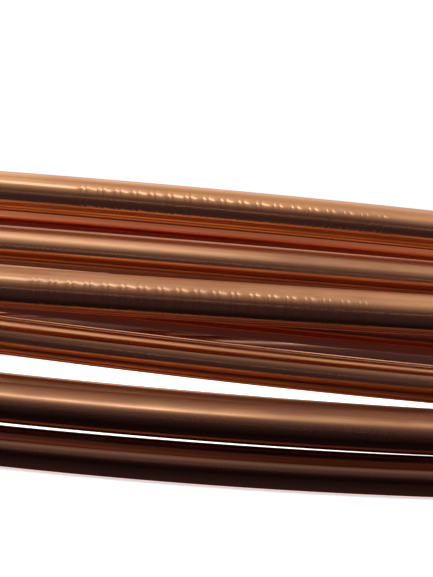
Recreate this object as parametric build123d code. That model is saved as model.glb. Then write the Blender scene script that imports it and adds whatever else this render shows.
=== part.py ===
from build123d import *
import math
import os

# A loose coil of soft copper tube, lying flat. One length of tube, in three
# layers of turns, wound up the inner layer, down the middle one and up the
# outer one. Millimetres and degrees. Angles run from the front, at -Y, the way
# the tube is wound, which is counterclockwise seen from above.

# Driving dimensions of the tube
tube_od = 15.88
tube_wall = 1.02
end_length = 60.0

# Driving dimensions of the coil
outer_turn_radius = 358.6
layer_gap = 6.5
inner_lead_radius = 150.0
inner_lead_angle = 40.0

# Clear height under each turn of a layer, from the floor or the turn below
outer_gaps = (0.0, 0.65, 29.55)
middle_gaps = (17.5, 4.6, 23.1, 5.1)
inner_gaps = (54.9, 14.0)

# How steeply each of these turns falls to the right across the front
outer_falls = (0.0, 0.004, -0.0055)
middle_falls = (0.012, 0.0415, 0.012, 0.021)
inner_falls = (0.031, 0.019)

# Angles between which a turn slopes, runs level and changes its place
front_half_angle = 14.0
level_angle = 30.0
outer_climb = (125.0, 210.0)
middle_drop = (150.0, 230.0)
inner_climb = (235.0, 300.0)
step_out_angle = 300.0
inner_start_angle = -62.0
outer_end_angle = 118.0

INNER = 2
MIDDLE = 1
OUTER = 0


def stacked_turns(layer, gaps, falls):
    """Lists the turns of one layer from the floor up."""
    radius = outer_turn_radius - layer * (tube_od + layer_gap)
    turns = []
    top = 0.0
    for gap, fall in zip(gaps, falls):
        height = top + gap + tube_od / 2
        turns.append({"layer": layer, "radius": radius, "height": height, "fall": fall})
        top = height + tube_od / 2
    return turns


def wound_turns():
    """Lists the turns in the order in which the tube runs through them."""
    inner = stacked_turns(INNER, inner_gaps, inner_falls)
    middle = stacked_turns(MIDDLE, middle_gaps, middle_falls)
    outer = stacked_turns(OUTER, outer_gaps, outer_falls)
    return inner + middle[::-1] + outer


def side_height(turn, side):
    """Height of a turn's level part, at its left (-1) or right (1) side.

    The fall eases off evenly between the front and the level part.
    """
    sloping_length = turn["radius"] * math.radians(front_half_angle + level_angle) / 2
    return turn["height"] - side * sloping_length * turn["fall"]


def level_station(angle, radius, height):
    """A point and direction on a level circle round the coil's axis."""
    turned = math.radians(angle)
    point = Vector(radius * math.sin(turned), -radius * math.cos(turned), height)
    direction = Vector(math.cos(turned), math.sin(turned), 0)
    return point, direction


def front_station(turn, angle):
    """A point and direction on a turn's front, a circle tilted to one side."""
    turned = math.radians(angle)
    tilt = math.atan(turn["fall"])
    across = turn["radius"] * math.sin(turned)
    depth = -turn["radius"] * math.cos(turned)
    point = Vector(across * math.cos(tilt), depth, turn["height"] - across * math.sin(tilt))
    along = math.cos(turned)
    direction = Vector(along * math.cos(tilt), math.sin(turned), -along * math.sin(tilt))
    return point, direction


def stations_between(turn, following):
    """The level points at which one turn gives way to the next, behind the front."""
    start = (turn["radius"], side_height(turn, 1))
    end = (following["radius"], side_height(following, -1))
    if turn["layer"] == OUTER:
        moves = [(outer_climb[0], *start), (outer_climb[1], *end)]
    elif turn["layer"] == INNER:
        moves = [(inner_climb[0], *start), (inner_climb[1], *end)]
    elif following["layer"] == OUTER:
        lowered = (turn["radius"], end[1])
        moves = [(middle_drop[0], *start), (middle_drop[1], *lowered), (step_out_angle, *end)]
    else:
        moves = [(middle_drop[0], *start), (middle_drop[1], *end)]
    return [level_station(angle, radius, height) for angle, radius, height in moves]


def biarc(start, end):
    """Two arcs, tangent to each other, from one station to the next."""
    p0, t0 = start
    p1, t1 = end
    chord = p1 - p0
    reach = chord.dot(t0 + t1)
    spread = 2 * (1 - t0.dot(t1))
    handle = (math.sqrt(reach * reach + spread * chord.dot(chord)) - reach) / spread
    corner0 = p0 + t0 * handle
    corner1 = p1 - t1 * handle
    middle = (corner0 + corner1) * 0.5
    first = Edge.make_tangent_arc(p0, t0, middle)
    second = Edge.make_tangent_arc(middle, corner1 - corner0, p1)
    return [first, second]


def front_stations(turn):
    """The points between a turn's level left side and its level right side."""
    left = level_station(-level_angle, turn["radius"], side_height(turn, -1))
    right = level_station(level_angle, turn["radius"], side_height(turn, 1))
    front = [front_station(turn, side * front_half_angle) for side in (-1, 1)]
    return [left] + front + [right]


def centre_line():
    """The whole run of the tube, as straight ends and tangent arcs."""
    turns = wound_turns()
    first, last = turns[0], turns[-1]
    stations = [level_station(inner_start_angle, first["radius"], side_height(first, -1))]
    for turn, following in zip(turns, turns[1:]):
        stations.extend(front_stations(turn))
        stations.extend(stations_between(turn, following))
    stations.extend(front_stations(last))
    stations.append(level_station(outer_end_angle, last["radius"], side_height(last, 1)))

    edges = inner_lead(*stations[0])
    for start, end in zip(stations, stations[1:]):
        edges.extend(biarc(start, end))
    last_point, last_direction = stations[-1]
    edges.append(Edge.make_line(last_point, last_point + last_direction * end_length))
    return edges


def inner_lead(point, direction):
    """The straight inner end and the tighter bend that brings it to its turn."""
    centre = point + Vector(-direction.Y, direction.X, 0) * inner_lead_radius
    turned = math.radians(inner_lead_angle)
    back = direction * -math.sin(turned) + Vector(direction.Y, -direction.X, 0) * math.cos(turned)
    bend_start = centre + back * inner_lead_radius
    bend_direction = Vector(-back.Y, back.X, 0)
    straight = Edge.make_line(bend_start - bend_direction * end_length, bend_start)
    return [straight, Edge.make_tangent_arc(bend_start, bend_direction, point)]


def cut_end(path, share):
    """The ring of metal that shows where the tube is cut square."""
    plane = Plane(origin=path.position_at(share), z_dir=path.tangent_at(share))
    ring = plane * (Circle(tube_od / 2) - Circle(tube_od / 2 - tube_wall))
    return ring.face()


def drawn_wall(path, radius):
    """The faces of a round surface that follows the whole centre line."""
    plane = Plane(origin=path.position_at(0), z_dir=path.tangent_at(0))
    rod = sweep(plane * Circle(radius), path=path)
    return [face for face in rod.faces() if face.geom_type != GeomType.PLANE]


def copper_tube(path):
    """The tube, closed from its outside, its bore and its two cut ends."""
    outside = drawn_wall(path, tube_od / 2)
    bore = drawn_wall(path, tube_od / 2 - tube_wall)
    ends = [cut_end(path, 0), cut_end(path, 1)]
    return Solid(Shell(outside + bore + ends))


path = Wire(centre_line())
tube = copper_tube(path)
box = tube.bounding_box()
tube = Pos(-box.center().X, -box.center().Y, -box.min.Z) * tube
tube.label = "copper_tube"

os.makedirs("parts", exist_ok=True)
export_step(tube, "parts/copper_tube.step")

metal_area = math.pi * (tube_od - tube_wall) * tube_wall
print("length of tube, mm:", round(path.length, 1))
print("volume over section times length:", round(tube.volume / (metal_area * path.length), 6))
print("size, mm:", box.size, "centre:", box.center(), "floor:", box.min.Z)
base = Vector(box.center().X, box.center().Y, box.min.Z)
print("inner end:", path.position_at(0) - base, "facing", -path.tangent_at(0))
print("outer end:", path.position_at(1) - base, "facing", path.tangent_at(1))
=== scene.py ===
import math

import bmesh
import bpy
import numpy as np
from mathutils import Matrix, Vector


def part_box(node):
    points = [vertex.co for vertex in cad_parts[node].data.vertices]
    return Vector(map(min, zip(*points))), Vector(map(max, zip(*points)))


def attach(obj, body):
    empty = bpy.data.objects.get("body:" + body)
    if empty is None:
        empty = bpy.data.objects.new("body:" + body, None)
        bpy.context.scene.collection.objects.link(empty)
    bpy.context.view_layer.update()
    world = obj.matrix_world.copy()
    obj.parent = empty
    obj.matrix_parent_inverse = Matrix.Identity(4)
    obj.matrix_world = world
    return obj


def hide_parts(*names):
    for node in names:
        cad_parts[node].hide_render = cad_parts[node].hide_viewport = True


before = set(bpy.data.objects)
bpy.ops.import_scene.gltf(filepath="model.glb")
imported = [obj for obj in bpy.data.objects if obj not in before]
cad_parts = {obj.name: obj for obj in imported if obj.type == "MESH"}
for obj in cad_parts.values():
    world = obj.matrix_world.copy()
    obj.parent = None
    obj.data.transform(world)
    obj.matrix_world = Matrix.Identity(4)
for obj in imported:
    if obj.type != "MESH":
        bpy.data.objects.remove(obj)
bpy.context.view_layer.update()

# The tube and its winding, in metres and degrees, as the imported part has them.
# Angles run from the front, at -Y, the way the tube is wound.

TUBE_OD = 0.01588
TUBE_WALL = 0.00102
END_LENGTH = 0.060
OUTER_TURN_RADIUS = 0.3586
LAYER_GAP = 0.0065
INNER_LEAD_RADIUS = 0.150
INNER_LEAD_ANGLE = 40.0
OUTER_GAPS = (0.0, 0.00065, 0.02955)
MIDDLE_GAPS = (0.0175, 0.0046, 0.0231, 0.0051)
INNER_GAPS = (0.0549, 0.0140)
OUTER_FALLS = (0.0, 0.004, -0.0055)
MIDDLE_FALLS = (0.012, 0.0415, 0.012, 0.021)
INNER_FALLS = (0.031, 0.019)
FRONT_HALF_ANGLE = 14.0
LEVEL_ANGLE = 30.0
OUTER_CLIMB = (125.0, 210.0)
MIDDLE_DROP = (150.0, 230.0)
INNER_CLIMB = (235.0, 300.0)
STEP_OUT_ANGLE = 300.0
INNER_START_ANGLE = -62.0
OUTER_END_ANGLE = 118.0

INNER, MIDDLE, OUTER = 2, 1, 0

# How finely the tube is drawn

FINE_STEP = 0.005
PLAIN_STEP = 0.0120
BORE_STEP = 0.020
ROUND_COUNT = 36
BORE_ROUND_COUNT = ROUND_COUNT // 2
SHARP_ANGLE = 40.0
STRAIGHT_WITHIN = 1e-9
MIDDLE_WITHIN = 0.0001

# Rows of plain strokes pressed into the front of some turns: the turn's place in
# the winding, from where to where beside the front's middle, and the corners of
# the tube's round between which the strokes reach

STAMPED_ROWS = (
    (2, -0.058, 0.070, 16, 20),
    (8, -0.072, 0.060, 16, 21),
    (7, 0.038, 0.074, 18, 19),
)
MARK_SPACING = 0.0068
STROKE_OFFSETS = (-0.0011, 0.0011)
STROKE_WIDTH = 0.0005
STROKE_SLOPE = 0.00015
STROKE_DEPTH = 0.00021

# The photograph's frame and the camera that took it, fitted to the tube's edges

PHOTO_WIDTH = 433
PHOTO_HEIGHT = 577
FOCAL_PIXELS = 1369.5
CAMERA_PLACE = Vector((-0.0034, -0.8795, 0.0795))
CAMERA_YAW = -0.0635
CAMERA_PITCH = -0.512
CAMERA_ROLL = 4.108
SENSOR_WIDTH = 36.0
CLIP_START = 0.01

# Copper as it renders under white light, in linear colour

COPPER = (0.92, 0.385, 0.15)
COPPER_PALE = (0.95, 0.44, 0.19)
COPPER_TARNISHED = (0.62, 0.25, 0.12)
COPPER_EDGE = (0.90, 0.62, 0.50)
# Painted shade: the dull band's colour, on the lower half of the second turn up from the floor
COPPER_PAINTED_SHADE = (0.30, 0.11, 0.065)
# Painted shadow: the dark band's colour, on the top of the lowest turn under the turn above it
COPPER_PAINTED_SHADOW = (0.07, 0.012, 0.004)
# Painted shade and reddish inter-reflection: the innermost layer's colour, set back between the
# turns in front
COPPER_RECESS_SHADE = (0.45, 0.085, 0.028)

# How dull the copper is, where shade is painted on it (the dull and dark bands), and how satin
# it is: heights over the floor, up to a top, each with its level

LEVELS_TOP = 0.120
# The dull band both roughens the copper and paints shade on it
DULL_AND_SHADE_LEVELS = ((0.0160, 0.22), (0.0168, 0.62), (0.0266, 0.55), (0.0280, 0.0))
# The dark band paints shadow on the top of the lowest turn, where the turn above sits on it
PAINTED_SHADOW_LEVELS = ((0.0102, 0.0), (0.0112, 1.0), (0.0134, 1.0), (0.0145, 0.4), (0.0166, 0.0))
SATIN_LEVELS = (
    (0.0284, 0.0), (0.0296, 1.4), (0.0325, 1.4), (0.0335, 0.0),
    (0.0740, 0.0), (0.0754, 1.2), (0.0780, 1.2), (0.0795, 0.0),
    (0.0860, 0.0), (0.0875, 0.7), (0.0935, 0.7), (0.0950, 0.0),
)

# Painted shade and reddish inter-reflection on the innermost layer of turns, which sits back
# between the others, out to this distance from the coil's axis

RECESS_SHADE_RADIUS = 0.3235
RECESS_SHADE_EDGE = 0.0025
RECESS_SHADE_SHARE = 0.85

# The copper's grain: how finely it changes along the tube and across it, then
# the noise's detail and roughness

STREAKS = (6, 1400, 3.0, 0.6)
FINE_LINES = (25, 5200, 1.0, 0.5)
BANDS = (3, 330, 2.0, 0.5)
PATCHES = (22, 90, 4.0, 0.6)

# Between which levels of the noise the patches tarnish and the bands lighten

TARNISH_STOPS = ((0.45, 0.0), (0.66, 1.0))
TARNISH_SHARE = 0.40
BAND_STOPS = ((0.30, 0.78), (0.62, 1.0))

# The roughness of clean copper, what each thing adds to it, and the drawn relief

CLEAN_ROUGHNESS = 0.09
STREAK_ROUGHNESS = 0.10
TARNISH_ROUGHNESS = 0.10
DULL_ROUGHNESS = 0.22
SATIN_ROUGHNESS = 0.30
FINE_LINE_RELIEF = 0.4
RELIEF_STRENGTH = 0.6
RELIEF_DEPTH = 0.00002

# The studio, in metres. The tent's brightness is given at angles above the floor
# and the card's at distances from the coil's axis.

ROOM_LIGHT = 0.7
FLOOR_SIZE = 40.0
FLOOR_COLOUR = (0.85, 0.85, 0.85)
FLOOR_GLOW = 0.55
TENT_RADIUS = 4.0
TENT_SEGMENTS = 64
TENT_RINGS = 48
TENT_STRENGTH = 2.0
TENT_SIDE_BLEND = 0.8
TENT_LEFT = (
    (0, 0.08), (14, 0.11), (26, 0.20), (34, 0.33), (40, 0.55), (43, 1.80),
    (49, 1.70), (54, 0.70), (65, 0.62), (75, 0.46), (90, 0.42),
)
TENT_RIGHT = (
    (0, 0.06), (10, 0.08), (22, 0.15), (34, 0.21), (44, 0.46), (50, 0.50),
    (58, 0.42), (74, 0.42), (82, 0.60), (90, 0.66),
)
TENT_BACK = (
    (0, 0.10), (15, 0.28), (30, 0.95), (45, 1.08), (60, 0.98), (70, 0.80), (90, 0.54),
)
CARD_RADIUS = 3.0
CARD_SEGMENTS = 96
CARD_HEIGHT = 0.0003
CARD_TINT = (1.0, 0.85, 1.5)
CARD_LEVELS = (
    (0.335, 0.10), (0.358, 0.06), (0.368, 0.004), (0.385, 0.008), (0.43, 0.032),
    (0.60, 0.045), (1.0, 0.07), (3.0, 0.09),
)

# The cloth turns cooler above one brightness and below another

BRIGHT_FROM = 0.5
BRIGHT_SPAN = 0.7
DARK_BELOW = 0.35
BRIGHT_GREEN = 0.28
BRIGHT_BLUE = 0.80
DARK_GREEN = -0.05
DARK_BLUE = 0.70

LAMP_SIZE = 2.0
LAMP_HEIGHT = 3.0
LAMP_POWER = 60.0


class Run:
    """One straight or round stretch of the centre line."""

    def __init__(self, start, direction, end):
        chord = end - start
        ahead = chord.dot(direction)
        aside = chord - direction * ahead
        self.start = start
        self.direction = direction
        self.straight = aside.length < STRAIGHT_WITHIN
        if self.straight:
            self.length = chord.length
            return
        self.side = aside.normalized()
        self.radius = chord.length_squared / (2 * aside.length)
        self.angle = 2 * math.atan2(aside.length, ahead)
        self.length = self.radius * self.angle

    def at(self, distance):
        """The point and direction at a distance along the run."""
        if self.straight:
            return self.start + self.direction * distance, self.direction
        turned = distance / self.radius
        sine, cosine = math.sin(turned), math.cos(turned)
        ahead = self.direction * (self.radius * sine)
        point = self.start + ahead + self.side * (self.radius * (1 - cosine))
        return point, self.direction * cosine + self.side * sine


def stacked_turns(layer, gaps, falls):
    """Lists the turns of one layer from the floor up."""
    radius = OUTER_TURN_RADIUS - layer * (TUBE_OD + LAYER_GAP)
    turns = []
    top = 0.0
    for gap, fall in zip(gaps, falls):
        height = top + gap + TUBE_OD / 2
        turns.append({"layer": layer, "radius": radius, "height": height, "fall": fall})
        top = height + TUBE_OD / 2
    return turns


def side_height(turn, side):
    """Height of a turn's level part, at its left (-1) or right (1) side."""
    sloping_length = turn["radius"] * math.radians(FRONT_HALF_ANGLE + LEVEL_ANGLE) / 2
    return turn["height"] - side * sloping_length * turn["fall"]


def level_station(angle, radius, height):
    """A point and direction on a level circle round the coil's axis."""
    turned = math.radians(angle)
    point = Vector((radius * math.sin(turned), -radius * math.cos(turned), height))
    return point, Vector((math.cos(turned), math.sin(turned), 0))


def front_station(turn, angle):
    """A point and direction on a turn's front, a circle tilted to one side."""
    turned = math.radians(angle)
    tilt = math.atan(turn["fall"])
    across = turn["radius"] * math.sin(turned)
    depth = -turn["radius"] * math.cos(turned)
    point = Vector((across * math.cos(tilt), depth, turn["height"] - across * math.sin(tilt)))
    along = math.cos(turned)
    return point, Vector((along * math.cos(tilt), math.sin(turned), -along * math.sin(tilt)))


def front_stations(turn):
    """The points between a turn's level left side and its level right side."""
    left = level_station(-LEVEL_ANGLE, turn["radius"], side_height(turn, -1))
    right = level_station(LEVEL_ANGLE, turn["radius"], side_height(turn, 1))
    front = [front_station(turn, side * FRONT_HALF_ANGLE) for side in (-1, 1)]
    return [left] + front + [right]


def stations_between(turn, following):
    """The level points at which one turn gives way to the next, behind the front."""
    start = (turn["radius"], side_height(turn, 1))
    end = (following["radius"], side_height(following, -1))
    if turn["layer"] == OUTER:
        moves = [(OUTER_CLIMB[0], *start), (OUTER_CLIMB[1], *end)]
    elif turn["layer"] == INNER:
        moves = [(INNER_CLIMB[0], *start), (INNER_CLIMB[1], *end)]
    elif following["layer"] == OUTER:
        lowered = (turn["radius"], end[1])
        moves = [(MIDDLE_DROP[0], *start), (MIDDLE_DROP[1], *lowered), (STEP_OUT_ANGLE, *end)]
    else:
        moves = [(MIDDLE_DROP[0], *start), (MIDDLE_DROP[1], *end)]
    return [level_station(*move) for move in moves]


def biarc(start, end):
    """Two arcs, tangent to each other, from one station to the next."""
    p0, t0 = start
    p1, t1 = end
    chord = p1 - p0
    reach = chord.dot(t0 + t1)
    spread = 2 * (1 - t0.dot(t1))
    handle = (math.sqrt(reach * reach + spread * chord.length_squared) - reach) / spread
    corner0 = p0 + t0 * handle
    corner1 = p1 - t1 * handle
    middle = (corner0 + corner1) / 2
    return [Run(p0, t0, middle), Run(middle, (corner1 - corner0).normalized(), p1)]


def inner_lead(point, direction):
    """The straight inner end and the tighter bend that brings it to its turn."""
    outward = Vector((direction.y, -direction.x, 0))
    centre = point - outward * INNER_LEAD_RADIUS
    turned = math.radians(INNER_LEAD_ANGLE)
    back = outward * math.cos(turned) - direction * math.sin(turned)
    bend_start = centre + back * INNER_LEAD_RADIUS
    bend_direction = Vector((-back.y, back.x, 0))
    tip = bend_start - bend_direction * END_LENGTH
    return [Run(tip, bend_direction, bend_start), Run(bend_start, bend_direction, point)]


def centre_line(turns):
    """The whole run of the tube, as straight ends and tangent arcs."""
    first, last = turns[0], turns[-1]
    stations = [level_station(INNER_START_ANGLE, first["radius"], side_height(first, -1))]
    for turn, following in zip(turns, turns[1:]):
        stations.extend(front_stations(turn))
        stations.extend(stations_between(turn, following))
    stations.extend(front_stations(last))
    stations.append(level_station(OUTER_END_ANGLE, last["radius"], side_height(last, 1)))
    runs = inner_lead(*stations[0])
    for start, end in zip(stations, stations[1:]):
        runs.extend(biarc(start, end))
    point, direction = stations[-1]
    runs.append(Run(point, direction, point + direction * END_LENGTH))
    return runs


def strokes_on(runs):
    """Each pressed stroke's distance along the tube, with the corners it reaches."""
    fronts = []
    travelled = 0.0
    for run in runs:
        travelled += run.length
        end, _ = run.at(run.length)
        if abs(end.x) < MIDDLE_WITHIN and end.y < 0:
            fronts.append(travelled)
    strokes = []
    for turn, first, last, high, low in STAMPED_ROWS:
        for mark in range(int((last - first) / MARK_SPACING)):
            for offset in STROKE_OFFSETS:
                distance = fronts[turn] + first + mark * MARK_SPACING + offset
                strokes.append((distance, high, low))
    return sorted(strokes)


def distances_on(length, travelled, step, strokes):
    """Where a run gets a ring: at even steps, and at each stroke's four edges."""
    count = max(1, math.ceil(length / step))
    reach = STROKE_WIDTH / 2 + STROKE_SLOPE
    even = [travelled + length * index / count for index in range(count)]
    end = travelled + length
    inside = [s for s in strokes if travelled < s[0] - reach and s[0] + reach < end]
    rings = [
        (distance, None)
        for distance in even
        if distance == travelled or all(abs(distance - s[0]) > 2 * reach for s in inside)
    ]
    for distance, high, low in inside:
        for edge in (-reach, -STROKE_WIDTH / 2, STROKE_WIDTH / 2, reach):
            pressed = (high, low) if abs(edge) < reach else None
            rings.append((distance + edge, pressed))
    return sorted(rings, key=lambda ring: ring[0])


def marks_along(runs, step_for, strokes=()):
    """Points along the centre line, each with direction, distance and stroke."""
    marks = []
    travelled = 0.0
    for run in runs:
        for distance, pressed in distances_on(run.length, travelled, step_for(run), strokes):
            marks.append((*run.at(distance - travelled), distance, pressed))
        travelled += run.length
    marks.append((*runs[-1].at(runs[-1].length), travelled, None))
    return marks


def step_by_place(run):
    """Short steps across the front that the photograph shows, longer ones elsewhere."""
    middle, _ = run.at(run.length / 2)
    angle = math.degrees(math.atan2(middle.x, -middle.y))
    in_front = abs(angle) < FRONT_HALF_ANGLE and middle.y < 0
    return FINE_STEP if in_front else PLAIN_STEP


def ring_points(point, direction, radii):
    """A ring round the centre line, from its inward side over the top."""
    up = (Vector((0, 0, 1)) - direction * direction.z).normalized()
    inward = up.cross(direction)
    points = []
    for index, radius in enumerate(radii):
        angle = 2 * math.pi * index / len(radii)
        points.append(point + (inward * math.cos(angle) + up * math.sin(angle)) * radius)
    return points


def wall_faces(first, rings, count, inward):
    """Quads between rings that follow each other, facing out or into the bore."""
    faces = []
    for ring in range(rings - 1):
        low = first + ring * count
        for index in range(count):
            after = (index + 1) % count
            quad = (low + index, low + after, low + count + after, low + count + index)
            faces.append(quad[::-1] if inward else quad)
    return faces


def cut_end_faces(outside, bore, facing_back):
    """The ring of metal at a cut end, whose bore has half as many corners."""
    faces = []
    for index in range(BORE_ROUND_COUNT):
        after = (index + 1) % BORE_ROUND_COUNT
        rim = [outside + (2 * index + step) % ROUND_COUNT for step in range(3)]
        face = rim + [bore + after, bore + index]
        faces.append(face if facing_back else face[::-1])
    return faces


def make_tube(runs):
    """The hollow tube as one closed mesh, with its unrolled place on each point."""
    outside = marks_along(runs, step_by_place, strokes_on(runs))
    bore = marks_along(runs, lambda run: BORE_STEP)
    points, unrolled = [], []
    for marks, radius, count in (
        (outside, TUBE_OD / 2, ROUND_COUNT),
        (bore, TUBE_OD / 2 - TUBE_WALL, BORE_ROUND_COUNT),
    ):
        for point, direction, distance, pressed in marks:
            radii = [radius] * count
            if pressed:
                high, low = pressed
                radii[high:low + 1] = [radius - STROKE_DEPTH] * (low + 1 - high)
            points.extend(ring_points(point, direction, radii))
            for index in range(count):
                turned = 2 * math.pi * index / count
                unrolled.append((distance, radius * math.cos(turned), radius * math.sin(turned)))
    bore_first = len(outside) * ROUND_COUNT
    faces = wall_faces(0, len(outside), ROUND_COUNT, False)
    faces += wall_faces(bore_first, len(bore), BORE_ROUND_COUNT, True)
    faces += cut_end_faces(0, bore_first, True)
    last_ring = bore_first - ROUND_COUNT
    last_bore = len(points) - BORE_ROUND_COUNT
    faces += cut_end_faces(last_ring, last_bore, False)

    mesh = bpy.data.meshes.new("copper_coil")
    mesh.from_pydata(points, [], faces)
    place = mesh.attributes.new("unrolled", "FLOAT_VECTOR", "POINT")
    place.data.foreach_set("vector", [value for spot in unrolled for value in spot])
    mesh.polygons.foreach_set("use_smooth", [True] * len(mesh.polygons))
    mesh.set_sharp_from_angle(angle=math.radians(SHARP_ANGLE))
    mesh.update()
    return mesh


def settle_on_part(mesh):
    """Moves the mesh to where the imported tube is, which is centred over its box."""
    low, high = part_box("copper_tube")
    places = np.empty(3 * len(mesh.vertices))
    mesh.vertices.foreach_get("co", places)
    places = places.reshape(-1, 3)
    mesh_low, mesh_high = places.min(0), places.max(0)
    offset = (Vector(low) + Vector(high) - Vector(mesh_low) - Vector(mesh_high)) / 2
    offset.z = low[2] - mesh_low[2]
    mesh.transform(Matrix.Translation(offset))


class Nodes:
    """Short calls that add nodes to one material and link their inputs."""

    def __init__(self, material):
        self.material = material
        material.use_nodes = True
        self.tree = material.node_tree
        self.tree.nodes.clear()

    def add(self, kind, inputs=None, **settings):
        node = self.tree.nodes.new(kind)
        for name, value in settings.items():
            setattr(node, name, value)
        for name, value in (inputs or {}).items():
            self.feed(node.inputs[name], value)
        return node

    def feed(self, socket, value):
        if isinstance(value, bpy.types.NodeSocket):
            self.tree.links.new(value, socket)
        else:
            socket.default_value = value

    def math(self, operation, *values, clamp=False):
        node = self.add("ShaderNodeMath", operation=operation, use_clamp=clamp)
        for socket, value in zip(node.inputs, values):
            self.feed(socket, value)
        return node.outputs[0]

    def stretched(self, place, scale):
        """The place with each direction scaled by its own amount."""
        node = self.add("ShaderNodeVectorMath", {0: place}, operation="MULTIPLY")
        node.inputs[1].default_value = scale
        return node.outputs[0]

    def length(self, place):
        node = self.add("ShaderNodeVectorMath", {0: place}, operation="LENGTH")
        return node.outputs["Value"]

    def grain(self, place, along, across, detail, roughness):
        """Noise that is drawn out along the tube."""
        drawn = self.stretched(place, (along, across, across))
        inputs = {"Vector": drawn, "Scale": 1.0, "Detail": detail, "Roughness": roughness}
        return self.add("ShaderNodeTexNoise", inputs).outputs["Fac"]

    def ramp(self, factor, stops):
        node = self.add("ShaderNodeValToRGB", {"Fac": factor})
        elements = node.color_ramp.elements
        elements[0].position, elements[0].color = stops[0][0], (*stops[0][1], 1)
        elements[1].position, elements[1].color = stops[-1][0], (*stops[-1][1], 1)
        for position, colour in stops[1:-1]:
            elements.new(position).color = (*colour, 1)
        return node.outputs["Color"]

    def levels(self, factor, stops):
        """A grey ramp, from positions with their levels."""
        return self.ramp(factor, [(position, (level,) * 3) for position, level in stops])

    def levels_at(self, height, stops):
        """A grey ramp over the height, from heights with their levels."""
        return self.levels(height, [(place / LEVELS_TOP, level) for place, level in stops])

    def mix(self, factor, first, second, blend="MIX"):
        node = self.add("ShaderNodeMix", data_type="RGBA", blend_type=blend)
        self.feed(node.inputs[0], factor)
        self.feed(node.inputs[6], first)
        self.feed(node.inputs[7], second)
        return node.outputs[2]


def inner_layer(nodes, spot):
    """1 on the innermost layer of turns, and 0 on the others."""
    reach = nodes.length(nodes.stretched(spot, (1, 1, 0)))
    inside = nodes.math("SUBTRACT", RECESS_SHADE_RADIUS, reach)
    return nodes.math("MULTIPLY_ADD", inside, 1 / RECESS_SHADE_EDGE, 0.5, clamp=True)


def copper_material():
    """Bright drawn copper, streaked along the tube, duller near the floor, with painted shade
    low down and on the innermost layer.
    """
    material = bpy.data.materials.new("drawn_copper")
    nodes = Nodes(material)
    place = nodes.add("ShaderNodeAttribute", attribute_name="unrolled").outputs["Vector"]
    streaks = nodes.grain(place, *STREAKS)
    fine_lines = nodes.grain(place, *FINE_LINES)
    shade = nodes.levels(nodes.grain(place, *BANDS), BAND_STOPS)
    tarnish = nodes.levels(nodes.grain(place, *PATCHES), TARNISH_STOPS)

    spot = nodes.add("ShaderNodeTexCoord").outputs["Object"]
    height = nodes.add("ShaderNodeSeparateXYZ", {"Vector": spot}).outputs["Z"]
    height = nodes.math("DIVIDE", height, LEVELS_TOP)
    dull_and_shaded = nodes.levels_at(height, DULL_AND_SHADE_LEVELS)
    # dark is where shadow is painted on the top of the lowest turn
    dark = nodes.levels_at(height, PAINTED_SHADOW_LEVELS)
    satin = nodes.levels_at(height, SATIN_LEVELS)
    tarnished = nodes.math("MULTIPLY", tarnish, TARNISH_SHARE)
    recess_shaded = nodes.math("MULTIPLY", inner_layer(nodes, spot), RECESS_SHADE_SHARE)

    colour = nodes.mix(streaks, (*COPPER, 1), (*COPPER_PALE, 1))
    colour = nodes.mix(tarnished, colour, (*COPPER_TARNISHED, 1))
    colour = nodes.mix(1.0, colour, shade, "MULTIPLY")
    # Painted shade and red inter-reflection on the innermost layer
    colour = nodes.mix(recess_shaded, colour, (*COPPER_RECESS_SHADE, 1))
    # Painted shade on the dull band, over the lower half of the second turn up
    colour = nodes.mix(dull_and_shaded, colour, (*COPPER_PAINTED_SHADE, 1))
    # Painted shadow on the dark band
    colour = nodes.mix(dark, colour, (*COPPER_PAINTED_SHADOW, 1))

    roughness = nodes.math("MULTIPLY_ADD", streaks, STREAK_ROUGHNESS, CLEAN_ROUGHNESS)
    roughness = nodes.math("MULTIPLY_ADD", tarnish, TARNISH_ROUGHNESS, roughness)
    roughness = nodes.math("MULTIPLY_ADD", dull_and_shaded, DULL_ROUGHNESS, roughness)
    roughness = nodes.math("MULTIPLY_ADD", satin, SATIN_ROUGHNESS, roughness)
    relief = nodes.math("MULTIPLY_ADD", fine_lines, FINE_LINE_RELIEF, streaks)
    bump = nodes.add(
        "ShaderNodeBump",
        {"Height": relief, "Strength": RELIEF_STRENGTH, "Distance": RELIEF_DEPTH},
    )
    shader = nodes.add(
        "ShaderNodeBsdfPrincipled",
        {
            "Base Color": colour,
            "Metallic": 1.0,
            "Roughness": roughness,
            "Specular Tint": (*COPPER_EDGE, 1),
            "Normal": bump.outputs["Normal"],
        },
    )
    nodes.add("ShaderNodeOutputMaterial", {"Surface": shader.outputs["BSDF"]})
    return material


def add_object(name, mesh):
    thing = bpy.data.objects.new(name, mesh)
    bpy.context.scene.collection.objects.link(thing)
    return thing


def add_camera():
    """The camera, turned about its own axes as the photograph's was."""
    yaw, pitch, roll = (math.radians(a) for a in (CAMERA_YAW, CAMERA_PITCH, CAMERA_ROLL))
    level = math.cos(pitch)
    forward = Vector((math.sin(yaw) * level, math.cos(yaw) * level, math.sin(pitch)))
    right = forward.cross(Vector((0, 0, 1))).normalized()
    up = right.cross(forward)
    turned_right = right * math.cos(roll) + up * math.sin(roll)
    turned_up = up * math.cos(roll) - right * math.sin(roll)
    data = bpy.data.cameras.new("camera")
    data.sensor_width = SENSOR_WIDTH
    data.lens = FOCAL_PIXELS * SENSOR_WIDTH / max(PHOTO_WIDTH, PHOTO_HEIGHT)
    data.clip_start = CLIP_START
    camera = bpy.data.objects.new("camera", data)
    bpy.context.scene.collection.objects.link(camera)
    turn = Matrix((turned_right, turned_up, -forward)).transposed()
    camera.matrix_world = Matrix.Translation(CAMERA_PLACE) @ turn.to_4x4()
    bpy.context.scene.camera = camera


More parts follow.
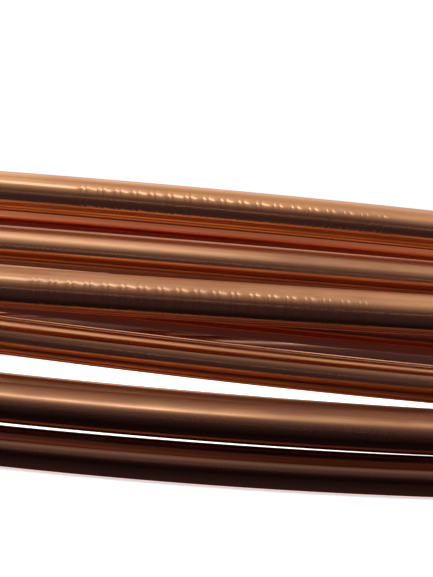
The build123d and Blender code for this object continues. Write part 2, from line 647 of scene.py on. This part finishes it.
def seen_white(nodes):
    """1 for rays from the camera, and for what metal or glass shows of them."""
    path = nodes.add("ShaderNodeLightPath").outputs
    seen = nodes.math("MAXIMUM", path["Is Camera Ray"], path["Is Glossy Ray"])
    return nodes.math("MAXIMUM", seen, path["Is Transmission Ray"])


def add_world():
    world = bpy.data.worlds.new("studio")
    nodes = Nodes(world)
    strength = nodes.math("MULTIPLY_ADD", seen_white(nodes), 1 - ROOM_LIGHT, ROOM_LIGHT)
    light = nodes.add("ShaderNodeBackground", {"Color": (1, 1, 1, 1), "Strength": strength})
    nodes.add("ShaderNodeOutputWorld", {"Surface": light.outputs[0]})
    bpy.context.scene.world = world


def add_floor():
    """A pale floor that shows white and keeps the coil's shadow."""
    half = FLOOR_SIZE / 2
    corners = [(-half, -half, 0), (half, -half, 0), (half, half, 0), (-half, half, 0)]
    mesh = bpy.data.meshes.new("floor")
    mesh.from_pydata(corners, [], [(0, 1, 2, 3)])
    floor = add_object("floor", mesh)
    material = bpy.data.materials.new("pale_floor")
    nodes = Nodes(material)
    glow = nodes.math("MULTIPLY", seen_white(nodes), FLOOR_GLOW)
    shader = nodes.add(
        "ShaderNodeBsdfPrincipled",
        {
            "Base Color": (*FLOOR_COLOUR, 1),
            "Roughness": 1.0,
            "Specular IOR Level": 0.0,
            "Emission Color": (1, 1, 1, 1),
            "Emission Strength": glow,
        },
    )
    nodes.add("ShaderNodeOutputMaterial", {"Surface": shader.outputs["BSDF"]})
    mesh.materials.append(material)


def reflected_only(thing):
    """Leaves a studio card to be seen in the copper and nowhere else."""
    thing.visible_camera = False
    thing.visible_diffuse = False
    thing.visible_shadow = False


def clamped(value):
    return min(1.0, max(0.0, value))


def cloth_colour(level):
    """The tent's colour at a brightness: cooler where it is brightest and darkest."""
    bright = clamped((level - BRIGHT_FROM) / BRIGHT_SPAN)
    dark = clamped(1 - level / DARK_BELOW)
    green = 1 + BRIGHT_GREEN * bright + DARK_GREEN * dark
    blue = 1 + BRIGHT_BLUE * bright + DARK_BLUE * dark
    return tuple(level * tint / TENT_STRENGTH for tint in (1, green, blue))


def glow_with(mesh, nodes, colour, strength):
    """Gives a studio piece the material that the nodes belong to, lit by itself."""
    glow = nodes.add("ShaderNodeEmission", {"Color": colour, "Strength": strength})
    nodes.add("ShaderNodeOutputMaterial", {"Surface": glow.outputs[0]})
    mesh.materials.append(nodes.material)


def add_light_tent():
    """A round tent over the coil, brightest halfway up, that the copper reflects."""
    mesh = bpy.data.meshes.new("light_tent")
    shape = bmesh.new()
    bmesh.ops.create_uvsphere(
        shape, u_segments=TENT_SEGMENTS, v_segments=TENT_RINGS, radius=TENT_RADIUS
    )
    shape.to_mesh(mesh)
    shape.free()
    tent = add_object("light_tent", mesh)
    nodes = Nodes(bpy.data.materials.new("tent_cloth"))
    place = nodes.add("ShaderNodeTexCoord").outputs["Object"]
    spot = nodes.add("ShaderNodeSeparateXYZ", {"Vector": place}).outputs
    sine = nodes.math("DIVIDE", spot["Z"], TENT_RADIUS)
    rise = nodes.math("DIVIDE", nodes.math("ARCSINE", sine), math.pi / 2)
    behind = nodes.math("MULTIPLY_ADD", spot["Y"], 0.5 / TENT_RADIUS, 0.5, clamp=True)
    aside = nodes.math("MULTIPLY_ADD", spot["X"], 0.5 / TENT_SIDE_BLEND, 0.5, clamp=True)
    left, right, back = (
        nodes.ramp(rise, [(angle / 90, cloth_colour(level)) for angle, level in levels])
        for levels in (TENT_LEFT, TENT_RIGHT, TENT_BACK)
    )
    cloth = nodes.mix(behind, nodes.mix(aside, left, right), back)
    glow_with(mesh, nodes, cloth, TENT_STRENGTH)
    reflected_only(tent)


def add_dark_card():
    """A dark card round and under the coil, which darkens the tubes' lower sides."""
    mesh = bpy.data.meshes.new("dark_card")
    shape = bmesh.new()
    bmesh.ops.create_circle(shape, cap_ends=True, segments=CARD_SEGMENTS, radius=CARD_RADIUS)
    shape.to_mesh(mesh)
    shape.free()
    mesh.transform(Matrix.Translation((0, 0, CARD_HEIGHT)))
    card = add_object("dark_card", mesh)
    nodes = Nodes(bpy.data.materials.new("dark_card"))
    reach = nodes.length(nodes.add("ShaderNodeTexCoord").outputs["Object"])
    stops = [
        (radius / CARD_RADIUS, tuple(level * tint for tint in CARD_TINT))
        for radius, level in CARD_LEVELS
    ]
    shade = nodes.ramp(nodes.math("DIVIDE", reach, CARD_RADIUS), stops)
    glow_with(mesh, nodes, shade, 1.0)
    reflected_only(card)


def add_overhead_lamp():
    """One large soft lamp over the coil, for its shadow on the floor."""
    data = bpy.data.lights.new("overhead", "AREA")
    data.size = LAMP_SIZE
    data.energy = LAMP_POWER
    lamp = bpy.data.objects.new("overhead", data)
    lamp.location = (0, 0, LAMP_HEIGHT)
    lamp.visible_glossy = False
    bpy.context.scene.collection.objects.link(lamp)


inner = stacked_turns(INNER, INNER_GAPS, INNER_FALLS)
middle = stacked_turns(MIDDLE, MIDDLE_GAPS, MIDDLE_FALLS)
outer = stacked_turns(OUTER, OUTER_GAPS, OUTER_FALLS)
runs = centre_line(inner + middle[::-1] + outer)

tube_mesh = make_tube(runs)
settle_on_part(tube_mesh)
tube_mesh.materials.append(copper_material())
tube = add_object("copper_coil", tube_mesh)
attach(tube, "root")
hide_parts("copper_tube")

add_world()
add_floor()
add_light_tent()
add_dark_card()
add_overhead_lamp()
add_camera()
bpy.context.scene.view_settings.view_transform = "Standard"
